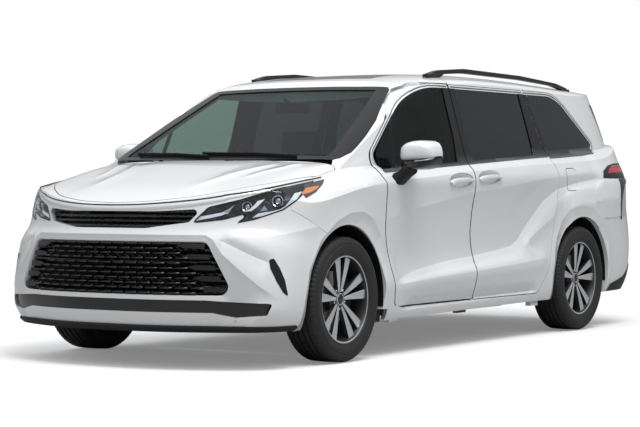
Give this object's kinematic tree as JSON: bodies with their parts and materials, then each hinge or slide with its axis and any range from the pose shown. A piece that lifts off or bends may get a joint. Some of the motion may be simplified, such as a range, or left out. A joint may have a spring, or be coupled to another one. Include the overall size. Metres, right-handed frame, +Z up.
{
  "type": "minivan",
  "caption": "Full-size minivan with opening hood, front doors, tailgate and fuel door, steered front wheels and seats in a hollow cabin.",
  "frame": {"origin": "on the ground, on the centre plane, at the middle of the overall length", "axes": "+X forward, +Y left, +Z up"},
  "size_m": [5.1731, 2.382, 1.7737],
  "materials": {
    "paint": "gloss",
    "mirror_cap": "gloss",
    "black_plastic": "matt",
    "gloss_black": "gloss",
    "rail_black": "satin",
    "cabin_trim": "matt",
    "seat_cover": "satin",
    "cast_metal": "rough",
    "chassis_metal": "satin",
    "steel": "satin",
    "underbody": "matt",
    "clear_glass": "gloss",
    "dark_glass": "gloss",
    "lamp_glass": "gloss",
    "tail_lamp": "gloss",
    "tyre": "matt",
    "alloy": "machined"
  },
  "bodies": {
    "body": {"arch_liners": "black_plastic", "body_side_left": "paint", "body_side_right": "paint", "cowl_panel": "black_plastic", "dashboard": "cabin_trim", "engine_block": "cast_metal", "exhaust": "steel", "floor_pan": "underbody", "front_bumper": "paint", "front_fenders": "paint", "front_seats": "seat_cover", "front_subframe": "chassis_metal", "fuel_tank": "black_plastic", "headlamps": "lamp_glass", "lower_grille": "gloss_black", "rear_axle": "chassis_metal", "rear_bumper": "paint", "rear_seats": "seat_cover", "roof_panel": "paint", "roof_rails": "rail_black", "roof_window": "dark_glass", "side_glass": "dark_glass", "sliding_door_left": "paint", "sliding_door_right": "paint", "tail_lamps": "tail_lamp", "upper_grille": "gloss_black", "windscreen": "clear_glass"},
    "hood": {"hood": "paint"},
    "front_door_left": {"front_door_left": "paint", "front_door_glass_left": "clear_glass", "door_mirror_left": "mirror_cap"},
    "front_door_right": {"front_door_right": "paint", "front_door_glass_right": "clear_glass", "door_mirror_right": "mirror_cap"},
    "tailgate": {"tailgate": "paint", "rear_glass": "dark_glass"},
    "fuel_door": {"fuel_door": "paint"},
    "steering_wheel": {"steering_wheel": "cabin_trim"},
    "knuckle_left": {"knuckle_left": "chassis_metal"},
    "knuckle_right": {"knuckle_right": "chassis_metal"},
    "wheel_front_left": {"tyre_front_left": "tyre", "rim_front_left": "alloy"},
    "wheel_front_right": {"tyre_front_right": "tyre", "rim_front_right": "alloy"},
    "wheel_rear_left": {"tyre_rear_left": "tyre", "rim_rear_left": "alloy"},
    "wheel_rear_right": {"tyre_rear_right": "tyre", "rim_rear_right": "alloy"}
  },
  "joints": [
    {"name": "hood_hinge", "type": "hinge", "parent": "body", "child": "hood", "pos_m": [1.5, 0, 1.15], "axis": [0, -1, 0], "range_deg": [0, 48]},
    {"name": "front_door_left_hinge", "type": "hinge", "parent": "body", "child": "front_door_left", "pos_m": [1.232, 0.951, 0.7], "axis": [0, 0, -1], "range_deg": [0, 62]},
    {"name": "front_door_right_hinge", "type": "hinge", "parent": "body", "child": "front_door_right", "pos_m": [1.232, -0.951, 0.7], "axis": [0, 0, 1], "range_deg": [0, 62]},
    {"name": "tailgate_hinge", "type": "hinge", "parent": "body", "child": "tailgate", "pos_m": [-2.235, 0, 1.7], "axis": [0, 1, 0], "range_deg": [0, 78]},
    {"name": "fuel_door_hinge", "type": "hinge", "parent": "body", "child": "fuel_door", "pos_m": [-1.226, 0.99, 1.05], "axis": [0, 0, -1], "range_deg": [0, 75]},
    {"name": "steer_left", "type": "hinge", "parent": "body", "child": "knuckle_left", "pos_m": [1.605, 0.81, 0.24], "axis": [-0.0687, -0.2535, 0.9649], "range_deg": [-34, 34]},
    {"name": "steer_right", "type": "hinge", "parent": "body", "child": "knuckle_right", "pos_m": [1.605, -0.81, 0.24], "axis": [-0.0687, 0.2535, 0.9649], "range_deg": [-34, 34]},
    {"name": "steering_column", "type": "hinge", "parent": "body", "child": "steering_wheel", "pos_m": [0.697, 0.37, 0.975], "axis": [-0.9135, 0, 0.4067], "range_deg": [-476, 476]},
    {"name": "spin_front_left", "type": "hinge", "parent": "knuckle_left", "child": "wheel_front_left", "pos_m": [1.597, 0.863, 0.362], "axis": [0, 1, 0], "continuous": true},
    {"name": "spin_front_right", "type": "hinge", "parent": "knuckle_right", "child": "wheel_front_right", "pos_m": [1.597, -0.863, 0.362], "axis": [0, 1, 0], "continuous": true},
    {"name": "spin_rear_left", "type": "hinge", "parent": "body", "child": "wheel_rear_left", "pos_m": [-1.463, 0.867, 0.362], "axis": [0, 1, 0], "continuous": true},
    {"name": "spin_rear_right", "type": "hinge", "parent": "body", "child": "wheel_rear_right", "pos_m": [-1.463, -0.867, 0.362], "axis": [0, 1, 0], "continuous": true}
  ],
  "couplings": [
    {"joint": "steer_right", "follows": "steer_left", "ratio": 1},
    {"joint": "steering_column", "follows": "steer_left", "ratio": 14}
  ]
}
